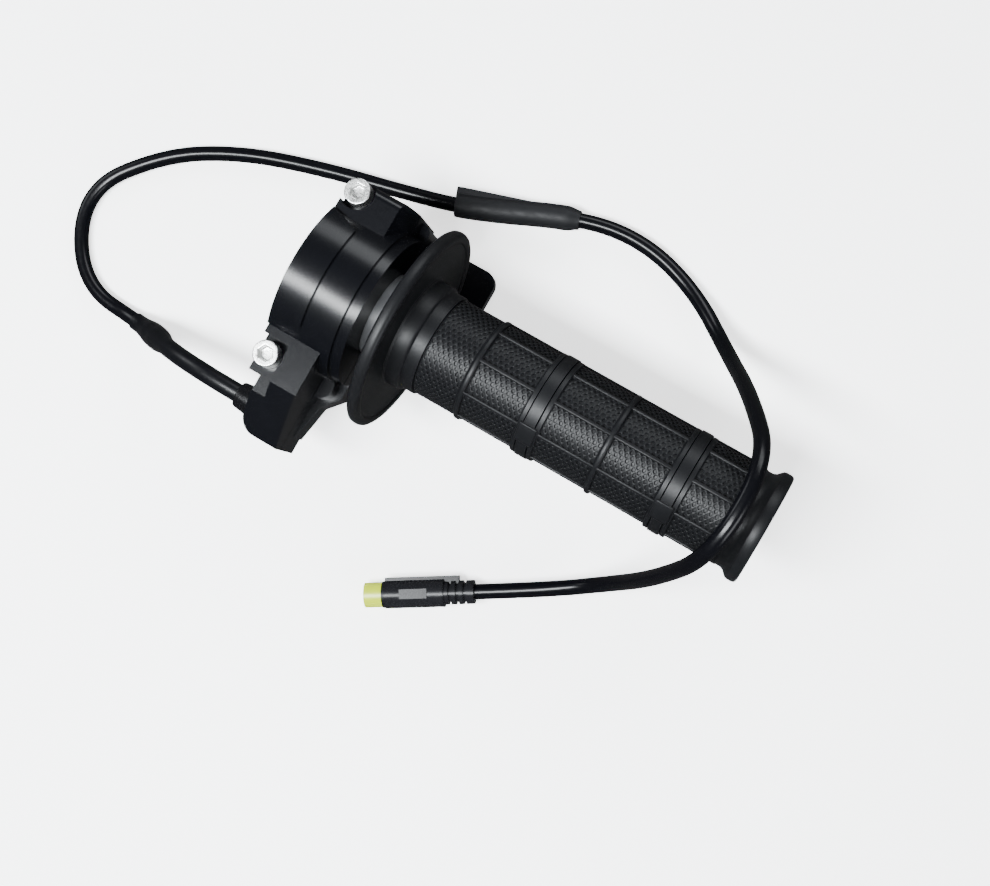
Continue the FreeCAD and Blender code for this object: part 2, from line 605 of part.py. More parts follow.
def clamp_screw(side, y, top):
    """A hexagon socket screw, standing on its spotface."""
    base = "%s - Sizes.seat_depth" % top
    head = screw_hole(side + "_head", "Sizes.head_diameter / 2", "Sizes.head_height", y, base)
    shank = screw_hole(side + "_shank", "Sizes.screw_diameter / 2", "Sizes.screw_length + 1", y,
                       "%s - Sizes.screw_length" % base)
    socket = doc.addObject("Part::Prism", side + "_socket")
    socket.Polygon = 6
    socket.setExpression("Circumradius", "Sizes.socket_flats / 2 / cos(30)")
    socket.setExpression("Height", "2 * Sizes.socket_depth")
    seat(socket, "Sizes.bolt_place", y, "%s + Sizes.head_height - Sizes.socket_depth" % base)
    return cut("clamp_screw_" + side, fuse(side + "_blank", [head, shank]), socket)


def throttle_tube():
    """The tube, the carrier pressed on its inboard end with the stop lug, and the magnets."""
    ring("throttle_tube", TUBE_BORE, TUBE_OUTER, TUBE_END + " - " + FLANGE_PLACE, FLANGE_PLACE)
    blank = fuse("carrier_blank", [
        rod("carrier_disc", "Sizes.flange_radius", "Sizes.flange_length", FLANGE_PLACE),
        rod("lug_sector", "Sizes.lug_radius", "Sizes.flange_length", FLANGE_PLACE,
            angle="Sizes.lug_angle", start="90 - " + SWEEP_HALF),
    ])
    magnets = []
    for i in range(2):
        start = "%d - Sizes.magnet_angle / 2" % (180 * i - 90)
        outer = rod("magnet_sector_%d" % (i + 1), "Sizes.magnet_outer", "Sizes.magnet_depth",
                    FLANGE_PLACE, angle="Sizes.magnet_angle", start=start)
        inner = rod("magnet_inside_%d" % (i + 1), "Sizes.magnet_inner", "Sizes.magnet_depth",
                    FLANGE_PLACE)
        magnets.append(cut("magnet_%d" % (i + 1), outer, inner))
    bore = rod("carrier_bore", TUBE_OUTER, "Sizes.flange_length", FLANGE_PLACE)
    cut("magnet_carrier", blank, fuse("carrier_hollows", [bore] + magnets))
    group("magnet_pair", magnets)


def step(points, place, width, radius, back):
    """Add a raised ring to a section that runs from the outer end inwards."""
    points += [("%s + %s" % (place, width), back), ("%s + %s" % (place, width), radius),
               (place, radius), (place, back)]


def wide_band(points, place):
    """A wide band: two lips and a raised middle between two grooves."""
    lip, strap, groove = "Sizes.lip_width", "Sizes.strap_width", "Sizes.band_groove"
    edges = [(lip, "Sizes.ring_radius"), (groove, "Sizes.panel_radius"), (strap, "Sizes.strap_radius"),
             (groove, "Sizes.panel_radius"), (lip, "Sizes.ring_radius")]
    spots = ["(%s)" % place]
    for width, _ in edges:
        spots.append("(%s + %s)" % (spots[-1], width))
    points.append((spots[-1], "Sizes.panel_radius"))
    for i in range(len(edges) - 1, -1, -1):
        points += [(spots[i + 1], edges[i][1]), (spots[i], edges[i][1])]
    points.append((spots[0], "Sizes.panel_radius"))


def place_of(share):
    """Where a ring or band starts, from its share of the length between collar and neck."""
    return "(Sizes.collar_end + Sizes.%s * (%s - Sizes.collar_end))" % (share, PANEL_END)


def grip_sleeve():
    """The moulded rubber: flange disc, ribbed and ringed grip, and closed end."""
    panel = "Sizes.panel_radius"
    neck_place = PANEL_END + " + Sizes.neck_length"
    points = [(DISC_END, TUBE_OUTER), (TUBE_END, TUBE_OUTER), (TUBE_END, "0"),
              ("Sizes.grip_length", "0"), ("Sizes.grip_length", "Sizes.end_radius"),
              ("Sizes.grip_length - Sizes.end_thickness", "Sizes.end_radius"),
              (neck_place, "Sizes.neck_radius"), (PANEL_END, "Sizes.neck_radius"),
              (PANEL_END, panel)]
    wide_band(points, place_of("outer_band"))
    step(points, place_of("outer_ring"), "Sizes.ring_width", "Sizes.ring_radius", panel)
    wide_band(points, place_of("inner_band"))
    step(points, place_of("inner_ring"), "Sizes.ring_width", "Sizes.ring_radius", panel)
    points += [("Sizes.collar_end", panel), ("Sizes.collar_end", "Sizes.collar_radius"),
               ("Sizes.hub_end", "Sizes.collar_radius"), ("Sizes.hub_end", "Sizes.hub_radius"),
               (DISC_END, "Sizes.hub_radius")]
    body, turned = spun("grip_moulding", points, "rotation(vector(1; 0; 0); Sizes.rib_turn)")
    end = size("end_radius")
    round_edges(body, turned, "end_round", "Sizes.end_rounding", lambda e: circle_of(e, end))
    outline = profile(body, "rib_outline", "XY_Plane", [
        (place_of("inner_ring"), "Sizes.neck_radius - 1"), (PANEL_END, "Sizes.neck_radius - 1"),
        (PANEL_END, "Sizes.rib_radius"), (place_of("inner_ring"), "Sizes.rib_radius")])
    rib = add_pad(body, outline, "long_rib", "Sizes.rib_width", both=True)
    ribs = body.newObject("PartDesign::PolarPattern", "long_ribs")
    ribs.Originals = [rib]
    ribs.Axis = (origin_axis(body, "X_Axis"), [""])
    ribs.Angle = 360
    ribs.setExpression("Occurrences", "Sizes.rib_count")
    body.Tip = ribs
    doc.recompute()
    buckles = []
    for name in ("inner", "outer"):
        place = place_of(name + "_band") + " + Sizes.lip_width + Sizes.band_groove + Sizes.strap_width / 2"
        buckles.append(block(name + "_buckle", "Sizes.buckle_length", "Sizes.buckle_width",
                             "Sizes.buckle_radius - Sizes.neck_radius + 1",
                             place + " - Sizes.buckle_length / 2", "-Sizes.buckle_width / 2",
                             "Sizes.neck_radius - 1",
                             frame="placement(vector(0; 0; 0); rotation(vector(1; 0; 0);"
                                   " Sizes.buckle_turn + Sizes.rib_turn - 90))"))
    return fuse("grip_sleeve", [body] + buckles)


def flange_disc():
    """The disc between the housing and the hand, hollowed inside its rim."""
    step_place = DISC_END + " - Sizes.disc_hollow"
    body, turned = spun("flange_disc", [
        ("Sizes.disc_place", TUBE_OUTER), (DISC_END, TUBE_OUTER), (DISC_END, "Sizes.hub_radius"),
        (step_place, "Sizes.hub_radius"), (step_place, "Sizes.disc_radius - Sizes.disc_rim"),
        (DISC_END, "Sizes.disc_radius - Sizes.disc_rim"), (DISC_END, "Sizes.disc_radius"),
        ("Sizes.disc_place", "Sizes.disc_radius"),
    ])
    rim = size("disc_radius")
    round_edges(body, turned, "disc_round", "Sizes.disc_rounding", lambda e: circle_of(e, rim))


def return_spring():
    """The torsion spring round the tube, with a leg at each end."""
    start = "(%s + Sizes.running_gap + Sizes.spring_wire / 2)" % FLANGE_END
    room = "(%s - Sizes.running_gap - Sizes.spring_wire - %s - 0.1)" % (CAVITY_END, FLANGE_END)
    helix = doc.addObject("Part::Helix", "spring_line")
    helix.setExpression("Radius", "Sizes.spring_radius")
    helix.setExpression("Height", room)
    helix.setExpression("Pitch", "%s / Sizes.spring_turns" % room)
    section = doc.addObject("Part::Circle", "spring_section")
    section.setExpression("Radius", "Sizes.spring_wire / 2")
    seat(section, "Sizes.spring_radius", turn="rotation(vector(1; 0; 0); 90)")
    coil = doc.addObject("Part::Sweep", "spring_coil")
    coil.Sections = [section]
    coil.Spine = (helix, ["Edge1"])
    coil.Solid = True
    coil.Frenet = True
    seat(coil, start, turn=ALONG_BAR)
    legs = []
    for name, place, angle in (("closed", start, "3"), ("open", start + " + " + room, "-3")):
        legs.append(rod(name + "_leg", "Sizes.spring_wire / 2",
                        "Sizes.spring_leg + Sizes.spring_wire / 2", place,
                        "Sizes.spring_radius - Sizes.spring_wire / 2", "0",
                        "rotation(vector(1; 0; 0); -90)",
                        frame="placement(vector(0; 0; 0); rotation(vector(1; 0; 0); %s))" % angle))
    return fuse("return_spring", [coil] + legs)


def sensor_parts():
    """The board on its posts, the hall sensor under the magnets, and two screws."""
    blank = block("board_blank", "Sizes.board_length", "Sizes.board_width", "Sizes.board_thickness",
                  "Sizes.board_place", "-Sizes.board_width / 2", "-" + BOARD_REAR)
    holes = fuse("board_holes", [
        rod("board_hole_%d" % (i + 1), "Sizes.board_screw / 2", "3 * Sizes.board_thickness",
            x, y, "-%s - Sizes.board_thickness" % BOARD_REAR, UPRIGHT)
        for i, (x, y) in enumerate(BOARD_CORNERS)])
    cut("sensor_board", blank, holes)
    block("hall_sensor", "Sizes.sensor_length", "Sizes.sensor_width", "Sizes.sensor_height",
          FLANGE_PLACE + " + Sizes.magnet_depth / 2 - Sizes.sensor_length / 2",
          "-Sizes.sensor_width / 2", "-" + BOARD_TOP)
    screws = []
    for i, (x, y) in enumerate(BOARD_CORNERS):
        head = rod("board_screw_head_%d" % (i + 1), "0.9 * Sizes.board_screw", "0.6 * Sizes.board_screw",
                   x, y, "-" + BOARD_TOP, UPRIGHT)
        shank = rod("board_screw_shank_%d" % (i + 1), "Sizes.board_screw / 2",
                    "Sizes.board_thickness + Sizes.post_diameter", x, y,
                    "-%s - Sizes.post_diameter" % BOARD_REAR, UPRIGHT)
        screws.append(fuse("board_screw_%d" % (i + 1), [head, shank]))
    group("board_screws", screws)


def cable_gland():
    """The moulded bell where the lead leaves the lobe, with its stem and flange."""
    y, z = "-Sizes.gland_reach", "-Sizes.gland_drop"
    fuse("cable_gland", [
        cone("gland_bell", "Sizes.gland_tip", "Sizes.gland_radius", "Sizes.gland_length",
             "Sizes.lobe_start - Sizes.gland_length", y, z),
        rod("gland_stem_rod", "Sizes.gland_stem", "Sizes.gland_wall", "Sizes.lobe_start", y, z),
        rod("gland_flange_disc", "Sizes.gland_flange", "Sizes.gland_wall / 2",
            "Sizes.lobe_start + Sizes.gland_wall", y, z),
    ])


def route_edges(points):
    """Straight runs joined by tangent arcs, and the radii of the arcs."""
    spots = [FreeCAD.Vector(*p) for p in points]
    edges, radii, last = [], [], spots[0]
    for before, spot, after in zip(spots, spots[1:], spots[2:]):
        first, second = before - spot, after - spot
        reach = ARC_SHARE * min(first.Length, second.Length)
        turn = math.pi - first.getAngle(second)
        radius = reach / math.tan(turn / 2)
        first.normalize()
        second.normalize()
        start, end = spot + first * reach, spot + second * reach
        inward = (first + second).normalize()
        middle = spot + inward * (radius / math.cos(turn / 2) - radius)
        edges.append(Part.LineSegment(last, start).toShape())
        edges.append(Part.Arc(start, middle, end).toShape())
        radii.append(radius)
        last = end
    edges.append(Part.LineSegment(last, spots[-1]).toShape())
    return edges, radii


def stretch(edges, start, end):
    """The part of a route between two lengths along it."""
    kept, passed = [], 0.0
    for edge in edges:
        first, last = max(start - passed, 0.0), min(end - passed, edge.Length)
        if last - first > 1e-4:
            kept.append(edge.Curve.toShape(edge.getParameterByLength(first),
                                           edge.getParameterByLength(last)))
        passed += edge.Length
    return kept


def pipe(edges, radius):
    """A round tube along edges that meet end to end."""
    wire = Part.Wire(edges)
    head = edges[0]
    circle = Part.Circle(head.valueAt(head.FirstParameter), head.tangentAt(head.FirstParameter), radius)
    solid = wire.makePipeShell([Part.Wire([circle.toShape()])], True, False)
    expected = math.pi * radius ** 2 * wire.Length
    if abs(solid.Volume - expected) > 0.01 * expected:
        raise RuntimeError("a tube's volume is wrong: %.1f, not %.1f" % (solid.Volume, expected))
    return solid


def feature(name, shape):
    """A document object that holds a shape made here."""
    obj = doc.addObject("Part::Feature", name)
    obj.Shape = shape
    return obj


def sensor_lead():
    """The lead outside the housing, with its two splices under shrink sleeve."""
    edges, radii = route_edges(ROUTE)
    total = sum(edge.Length for edge in edges)
    inner_start, inner_end = size("inner_splice"), size("inner_splice") + size("inner_sleeve")
    outer_start, outer_end = size("outer_splice"), size("outer_splice") + size("outer_sleeve")
    spans = [
        ("lead_inner", 0.0, inner_start, "sleeved_diameter"),
        ("splice_sleeve_inner", inner_start, inner_end, "splice_diameter"),
        ("lead_middle", inner_end, outer_start, "lead_diameter"),
        ("splice_sleeve_outer", outer_start, outer_end, "splice_diameter"),
        ("lead_outer", outer_end, total, "lead_diameter"),
    ]
    for name, start, end, diameter in spans:
        feature(name, pipe(stretch(edges, start, end), size(diameter) / 2))
    print("lead length %.1f, radii from %.1f: %s" % (
        total, min(radii), " ".join("%.0f" % radius for radius in radii)))


def inside_wires():
    """Three wires from the gland, round the cavity, to the board."""
    edge_of_board = -size("board_width") / 2
    level = -(size("flange_radius") + size("running_gap") + size("sensor_height")
              + size("board_thickness") / 2)
    start_y, start_z = -size("gland_reach"), -size("gland_drop")
    start_x = size("lobe_start") + 1.5 * size("gland_wall")
    wires = []
    for i in (-1, 0, 1):
        shift = i * WIRE_SPACING
        points = [(start_x, start_y + shift, start_z), (start_x + 2.5, start_y + shift, start_z),
                  (WIRE_ROUTE[0][0] + shift, start_y + WIRE_TURN, start_z)]
        points += [(x + shift, y, z) for x, y, z in WIRE_ROUTE]
        points.append((WIRE_ROUTE[-1][0] + shift, edge_of_board, level))
        wires.append(pipe(route_edges(points)[0], size("wire_diameter") / 2))
    feature("sensor_wires", Part.makeCompound(wires))


def connector():
    """The plug on the lead's end, in a frame whose X runs out of its nose."""
    (ax, ay, _), (bx, by, bz) = ROUTE[-2:]
    angle = math.degrees(math.atan2(by - ay, bx - ax))
    frame = "placement(vector(%s; %s; %s); rotation(vector(0; 0; 1); %.6f))" % (bx, by, bz, angle)
    barrel_end = "(Sizes.plug_relief + Sizes.plug_barrel)"
    relief = rod("relief_rod", "Sizes.relief_diameter / 2", "Sizes.plug_relief", frame=frame)
    grooves = [ring("relief_groove_%d" % (i + 1), "Sizes.relief_diameter / 2 - Sizes.relief_groove",
                    "Sizes.relief_diameter", "1.4 * Sizes.relief_groove",
                    "Sizes.plug_relief * %d / 4" % (i + 1), frame) for i in range(3)]
    barrel = rod("barrel_rod", "Sizes.plug_diameter / 2", "Sizes.plug_barrel", "Sizes.plug_relief",
                 frame=frame)
    key = block("key_rib", "Sizes.plug_barrel + Sizes.plug_relief / 2",
                "Sizes.plug_diameter / 2 + Sizes.key_height", "Sizes.key_width",
                "Sizes.plug_relief / 2", "-Sizes.plug_diameter / 2 - Sizes.key_height",
                "-Sizes.key_width / 2", frame)
    panel = block("label_panel", "Sizes.label_length", "Sizes.label_width",
                  "Sizes.plug_diameter / 2 + 0.25", "Sizes.plug_relief + Sizes.plug_barrel / 2"
                  " - Sizes.label_length / 2", "-Sizes.label_width / 2", "0", frame)
    socket = rod("nose_socket", "Sizes.nose_diameter / 2", "Sizes.nose_length / 2 + " + PAST,
                 barrel_end + " - Sizes.nose_length / 2", frame=frame)
    blank = cut("relief_ribbed", relief, fuse("relief_grooves", grooves))
    cut("connector_body", fuse("connector_blank", [blank, barrel, key, panel]), socket)

    nose = rod("nose_rod", "Sizes.nose_diameter / 2", "1.5 * Sizes.nose_length",
               barrel_end + " - Sizes.nose_length / 2", frame=frame)
    tip = "(%s + Sizes.nose_length)" % barrel_end
    holes, sleeves = [], []
    for i in range(3):
        x = "%s - Sizes.contact_depth" % tip
        y, z = ("Sizes.contact_circle * %s(%d)" % (way, 120 * i + 90) for way in ("cos", "sin"))
        name = "contact_%d" % (i + 1)
        hole = rod(name + "_hole", "Sizes.contact_diameter / 2", "Sizes.contact_depth", x, y, z,
                   frame=frame)
        bore = rod(name + "_bore", "Sizes.contact_diameter / 3", "Sizes.contact_depth", x, y, z,
                   frame=frame)
        holes.append(hole)
        sleeves.append(cut(name, hole, bore))
    cut("connector_insert", nose, fuse("contact_holes", holes))
    group("connector_contacts", sleeves)
    ring("connector_seal", "Sizes.nose_diameter / 2",
         "Sizes.nose_diameter / 4 + Sizes.plug_diameter / 4", "Sizes.collar_ring", barrel_end, frame)


def check_and_write():
    """Stop on any failed object or shape, then write each piece to its own file."""
    failed = [o.Name for o in doc.Objects if "Invalid" in o.State or "Error" in o.State]
    if failed:
        raise RuntimeError("failed objects: " + ", ".join(failed))
    os.makedirs("parts", exist_ok=True)
    for name in NODES:
        shape = doc.getObject(name).Shape
        if shape.isNull() or not shape.isValid() or not shape.Solids:
            raise RuntimeError("bad shape: " + name)
        shape.exportStep("parts/%s.step" % name)
        print("%-22s %2d solid(s) %10.1f mm3" % (name, len(shape.Solids), shape.Volume))


shell = cut("housing_shell", housing_blank(), housing_hollow())
front_half(shell)
rear_half(shell)
for side, y, top in SCREWS:
    clamp_screw(side, y, top)
throttle_tube()
flange_disc()
grip_sleeve()
ring("thrust_washer", BAR_BORE + " + Sizes.running_gap", "Sizes.washer_radius",
     "Sizes.washer_thickness", "Sizes.land_length")
return_spring()
ring("dust_seal", TUBE_OUTER + " + Sizes.seal_gap",
     TUBE_OUTER + " + Sizes.running_gap + Sizes.seal_height", "Sizes.seal_width", SEAL_PLACE)
sensor_parts()
cable_gland()
sensor_lead()
inside_wires()
connector()
doc.recompute()
check_and_write()
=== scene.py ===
import json
import math

import bpy
from bpy.props import FloatProperty, FloatVectorProperty, IntProperty, PointerProperty
from mathutils import Matrix, Vector

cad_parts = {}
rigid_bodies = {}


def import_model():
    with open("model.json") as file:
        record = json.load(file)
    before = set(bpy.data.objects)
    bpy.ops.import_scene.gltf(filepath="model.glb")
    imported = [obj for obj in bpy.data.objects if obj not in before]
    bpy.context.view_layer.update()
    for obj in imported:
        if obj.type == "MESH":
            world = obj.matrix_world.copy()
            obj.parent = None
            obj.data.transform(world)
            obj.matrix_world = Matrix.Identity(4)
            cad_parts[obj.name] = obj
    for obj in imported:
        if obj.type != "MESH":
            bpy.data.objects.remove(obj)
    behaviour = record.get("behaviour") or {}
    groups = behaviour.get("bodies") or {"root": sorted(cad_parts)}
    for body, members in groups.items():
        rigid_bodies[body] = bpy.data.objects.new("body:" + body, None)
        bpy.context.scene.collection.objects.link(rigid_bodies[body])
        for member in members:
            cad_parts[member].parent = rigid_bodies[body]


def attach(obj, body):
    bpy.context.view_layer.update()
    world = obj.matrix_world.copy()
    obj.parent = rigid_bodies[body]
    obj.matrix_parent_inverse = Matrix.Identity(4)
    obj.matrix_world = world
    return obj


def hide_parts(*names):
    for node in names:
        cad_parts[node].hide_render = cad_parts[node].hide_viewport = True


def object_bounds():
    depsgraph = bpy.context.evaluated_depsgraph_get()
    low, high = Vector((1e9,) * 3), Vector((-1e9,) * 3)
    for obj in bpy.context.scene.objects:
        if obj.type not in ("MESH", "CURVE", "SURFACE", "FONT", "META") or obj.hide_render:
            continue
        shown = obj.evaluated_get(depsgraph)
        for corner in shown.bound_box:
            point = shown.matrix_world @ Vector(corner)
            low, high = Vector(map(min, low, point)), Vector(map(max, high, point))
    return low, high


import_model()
CAD_BOX = [list(corner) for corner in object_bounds()]

bl_info = {
    "name": "Twist throttle",
    "version": (1, 0, 0),
    "blender": (4, 5, 0),
    "location": "View3D > Sidebar > Throttle",
    "description": "Dresses the twist throttle: housing, ribbed grip, sensor lead and plug",
    "category": "Object",
}

MM = 0.001

# The lead's route, in metres: out of the gland, down to the surface, behind the
# housing, over the grip's end and back to the plug.
LEAD_ROUTE = [
    (-0.0040, -0.0420, -0.0050),
    (-0.0270, -0.0420, -0.0050),
    (-0.0510, -0.0404, -0.0340),
    (-0.0796, -0.0390, -0.0346),
    (-0.0950, -0.0118, -0.0346),
    (-0.0762, 0.0114, -0.0346),
    (-0.0536, 0.0242, -0.0346),
    (-0.0260, 0.0326, -0.0346),
    (0.0000, 0.0382, -0.0342),
    (0.0220, 0.0436, -0.0333),
    (0.0550, 0.0582, -0.0333),
    (0.0760, 0.0608, -0.0344),
    (0.0970, 0.0546, -0.0346),
    (0.1155, 0.0416, -0.0260),
    (0.1284, 0.0310, 0.0025),
    (0.1418, 0.0158, 0.0260),
    (0.1413, -0.0142, 0.0260),
    (0.1304, -0.0274, 0.0000),
    (0.1184, -0.0364, -0.0270),
    (0.1036, -0.0471, -0.0326),
    (0.0840, -0.0594, -0.0326),
]

# The outer sleeve's two ends, as distances along the lead in mm.
SPLICE_START = 239.0
SPLICE_END = 278.5

# The sleeves' swelling in mm: where the inner one starts, ends, rises and falls, how far from its
# ends the outer one rises and falls, and the length of the slope of each.
GLAND_SLEEVE = (0.0, 60.0, 34.0, 58.0)
GLAND_SLOPE = 10.0
SPLICE_RISE = 4.0
SPLICE_FALL = 0.6
SPLICE_SLOPE = 5.0

# A flat strip at the sleeve's near end that fills a band of shadow there, painted shadow made solid:
# its reach past the sleeve's end in mm, and its size, the far end of its tapered side, its rounding,
# and its distances beside and above the lead's line in metres.
SHADOW_STRIP_PAST = 0.5
SHADOW_STRIP_SIZE = (0.030, 0.0042, 0.0013)
SHADOW_STRIP_TAPER = -0.0005
SHADOW_STRIP_ROUNDING = 0.0005
SHADOW_STRIP_OFFSET = 0.0036
SHADOW_STRIP_LIFT = 0.0012


# Settings.

class ThrottleColours(bpy.types.PropertyGroup):
    cast: FloatVectorProperty(
        name="Cast housing", description="Satin black coat of the cast halves",
        subtype="COLOR", size=3, min=0, max=1, default=(0.0018, 0.0020, 0.0028))
    steel: FloatVectorProperty(
        name="Screw steel", description="Bright zinc of the clamp screws",
        subtype="COLOR", size=3, min=0, max=1, default=(0.78, 0.78, 0.77))
    rubber: FloatVectorProperty(
        name="Grip rubber", description="Moulded rubber of the grip",
        subtype="COLOR", size=3, min=0, max=1, default=(0.0038, 0.0040, 0.0046))
    jacket: FloatVectorProperty(
        name="Lead jacket", description="Smooth jacket of the sensor lead",
        subtype="COLOR", size=3, min=0, max=1, default=(0.0014, 0.0015, 0.0022))
    sleeve: FloatVectorProperty(
        name="Shrink sleeve", description="Dull sleeve over the splices",
        subtype="COLOR", size=3, min=0, max=1, default=(0.0050, 0.0052, 0.0060))
    nose: FloatVectorProperty(
        name="Plug nose", description="Yellow-green insert of the plug",
        subtype="COLOR", size=3, min=0, max=1, default=(0.32, 0.39, 0.004))


class GripForm(bpy.types.PropertyGroup):
    dimple_pitch: FloatProperty(
        name="Dimple pitch", description="Distance between dimples along the grip",
        unit="LENGTH", min=0.0015, max=0.005, default=0.0018)
    dimple_count: IntProperty(
        name="Dimples around", description="Dimples in one ring round the grip",
        min=12, max=72, default=36)
    dimple_depth: FloatProperty(
        name="Dimple depth", description="Depth of each dimple",
        unit="LENGTH", min=0.0001, max=0.001, default=0.00045)
    panel_radius: FloatProperty(
        name="Panel radius", description="Outer radius of the dimpled panels",
        unit="LENGTH", min=0.014, max=0.017, default=0.0154)
    rib_count: IntProperty(
        name="Long ribs", description="Ribs along the grip", min=3, max=18, default=9)
    rib_width: FloatProperty(
        name="Rib width", description="Width of each long rib",
        unit="LENGTH", min=0.0005, max=0.003, default=0.00125)


class LeadForm(bpy.types.PropertyGroup):
    diameter: FloatProperty(
        name="Lead diameter", description="Outside of the lead's jacket",
        unit="LENGTH", min=0.003, max=0.008, default=0.0048)
    sleeve_diameter: FloatProperty(
        name="Sleeve diameter", description="Lead under its shrink sleeve",
        unit="LENGTH", min=0.004, max=0.010, default=0.0058)
    splice_diameter: FloatProperty(
        name="Splice diameter", description="Swollen shrink sleeve over a splice",
        unit="LENGTH", min=0.005, max=0.012, default=0.0078)


class StageForm(bpy.types.PropertyGroup):
    floor_size: FloatProperty(
        name="Floor size", description="Side of the square floor",
        unit="LENGTH", min=1, max=40, default=12)
    floor_glow: FloatProperty(
        name="Floor glow", description="Light that the floor gives off, as a light table does",
        min=0, max=10, default=1.6)
    key_power: FloatProperty(
        name="Key light", description="Power of the large light over the housing, in watts",
        min=0, max=500, default=20.0)
    back_power: FloatProperty(
        name="Back lights", description="Power of each light behind and to the right, in watts",
        min=0, max=500, default=9.0)
    fill_power: FloatProperty(
        name="Fill light", description="Power of the light at the housing's left, in watts",
        min=0, max=500, default=1.5)


# Helpers.

def node(name):
    """The CAD object of a node."""
    return bpy.data.objects[name]


def deselect():
    """Nothing selected and no object in edit mode."""
    if bpy.context.object and bpy.context.object.mode != "OBJECT":
        bpy.ops.object.mode_set(mode="OBJECT")
    bpy.ops.object.select_all(action="DESELECT")


def choose(obj):
    """One object selected and active."""
    deselect()
    obj.select_set(True)
    bpy.context.view_layer.objects.active = obj
    return obj


def edit(obj):
    """Open an object's mesh for editing, with nothing selected in it."""
    choose(obj)
    bpy.ops.object.mode_set(mode="EDIT")
    bpy.ops.mesh.select_mode(type="FACE")
    bpy.ops.mesh.select_all(action="DESELECT")


def leave():
    """Back to object mode."""
    bpy.ops.object.mode_set(mode="OBJECT")


def put_at_origin(obj):
    """Move an object's place, turn and scale into its mesh."""
    choose(obj)
    bpy.ops.object.transform_apply(location=True, rotation=True, scale=True)
    return obj


def join(name, objs):
    """Several meshes in one object."""
    deselect()
    for obj in objs:
        obj.select_set(True)
    bpy.context.view_layer.objects.active = objs[0]
    if len(objs) > 1:
        bpy.ops.object.join()
    objs[0].name = name
    return objs[0]


def modifier(obj, kind, **values):
    """Add a modifier and apply it."""
    choose(obj)
    made = obj.modifiers.new(kind.lower(), kind)
    for key, value in values.items():
        setattr(made, key, value)
    bpy.ops.object.modifier_apply(modifier=made.name)
    return obj


def smooth(obj, angle=35):
    """Smooth shading with sharp edges over an angle in degrees."""
    choose(obj)
    bpy.ops.object.shade_smooth_by_angle(angle=math.radians(angle))
    return obj


def finish(obj, body, material):
    """Give a finished piece its body and material."""
    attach(obj, body)
    obj.data.materials.clear()
    obj.data.materials.append(material)
    return obj


def turned(name, stations, count=96):
    """A piece turned round the bar axis: a ring extruded from station to station, (x, radius) in mm."""
    deselect()
    x, r = stations[0]
    bpy.ops.mesh.primitive_circle_add(vertices=count, radius=r * MM, location=(x * MM, 0, 0),
                                      rotation=(0, math.pi / 2, 0))
    obj = put_at_origin(bpy.context.object)
    obj.name = name
    bpy.ops.object.mode_set(mode="EDIT")
    bpy.ops.mesh.select_mode(type="EDGE")
    bpy.ops.mesh.select_all(action="SELECT")
    for x1, r1 in stations[1:]:
        bpy.ops.mesh.extrude_region_move(
            TRANSFORM_OT_translate={"value": ((x1 - x) * MM, 0, 0)})
        grow = r1 / r
        if abs(grow - 1) > 1e-9:
            bpy.ops.transform.resize(value=(1, grow, grow), center_override=(x1 * MM, 0, 0))
        x, r = x1, r1
    bpy.ops.mesh.select_all(action="SELECT")
    bpy.ops.mesh.remove_doubles(threshold=2e-6)
    bpy.ops.mesh.normals_make_consistent(inside=False)
    leave()
    return obj


def bevelled_copy(source, name, width, segments=2, angle=30):
    """A copy of a CAD node's mesh with its loose triangles merged and its edges bevelled."""
    obj = node(source).copy()
    obj.data = obj.data.copy()
    for key in list(obj.keys()):
        del obj[key]
    obj.name = name
    bpy.context.scene.collection.objects.link(obj)
    obj.parent = None
    edit(obj)
    bpy.ops.mesh.select_all(action="SELECT")
    bpy.ops.mesh.remove_doubles(threshold=1e-6)
    bpy.ops.mesh.dissolve_limited(angle_limit=math.radians(1.0))
    leave()
    modifier(obj, "BEVEL", width=width * MM, segments=segments, limit_method="ANGLE",
             angle_limit=math.radians(angle), use_clamp_overlap=True)
    smooth(obj, 40)
    return modifier(obj, "WEIGHTED_NORMAL", mode="FACE_AREA", weight=100, keep_sharp=True)


# Finishes.

def base_material(name, colour, rough, metallic=0.0):
    """A material with its shader's constant values set on the shader."""
    mat = bpy.data.materials.new(name)
    mat.use_nodes = True
    shader = mat.node_tree.nodes["Principled BSDF"]
    shader.inputs["Base Color"].default_value = (*colour, 1)
    shader.inputs["Roughness"].default_value = rough
    shader.inputs["Metallic"].default_value = metallic
    return mat, mat.node_tree, shader


